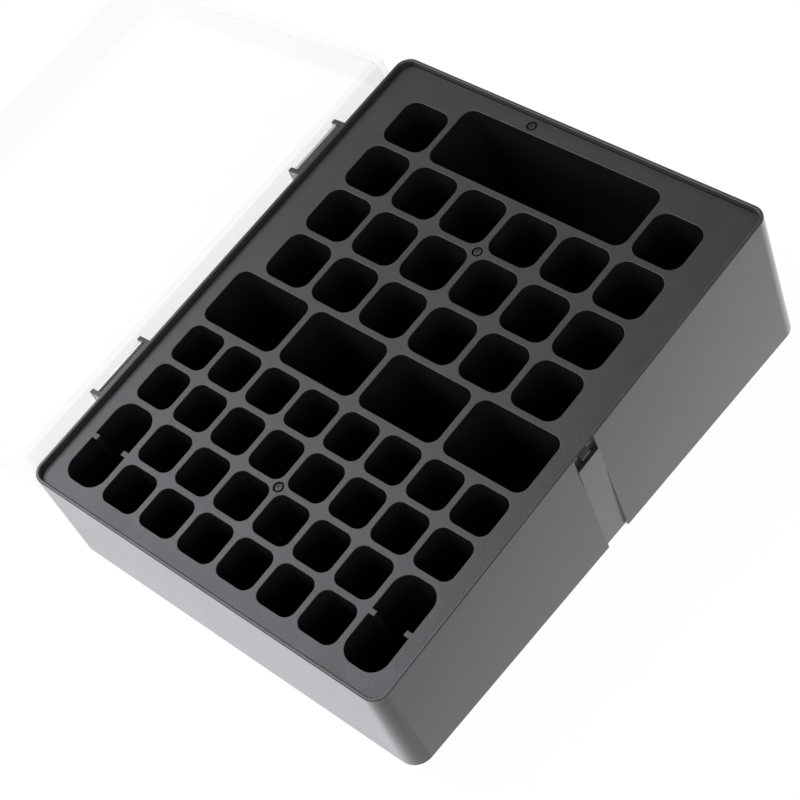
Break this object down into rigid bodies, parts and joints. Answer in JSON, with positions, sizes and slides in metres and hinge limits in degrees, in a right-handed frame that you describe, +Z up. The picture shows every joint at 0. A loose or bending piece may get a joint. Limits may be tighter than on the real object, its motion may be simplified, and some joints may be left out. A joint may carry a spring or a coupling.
{
  "type": "battery storage case",
  "caption": "Wedge-shaped desktop case whose sloping deck holds loose batteries upright in rows of pockets, under a clear lid hinged at the back.",
  "frame": {"origin": "middle of the base, on the table", "axes": "+Z up; +Y towards the hinges, -Y the latch side; +X towards the high end of the deck"},
  "size_m": [0.1818, 0.2797, 0.0547],
  "materials": {
    "case": "fine satin grain",
    "insert": "fine satin grain",
    "pin": "drawn steel wire",
    "clear": "clear polished plastic"
  },
  "bodies": {
    "case": {"outer_shell": "case", "base_plate": "case", "sorting_deck": "insert", "aaa_walls": "insert", "button_slot_walls": "insert", "nine_volt_walls": "insert", "aa_walls": "insert", "long_bay_walls": "insert", "hinge_pin_left": "pin", "hinge_pin_right": "pin"},
    "lid": {"lid": "clear"}
  },
  "joints": [
    {"name": "lid_hinge", "type": "hinge", "parent": "case", "child": "lid", "pos_m": [-0.00396, 0.07145, 0.04523], "axis": [0.9962, 0, 0.0872], "range_deg": [0, 188]}
  ]
}
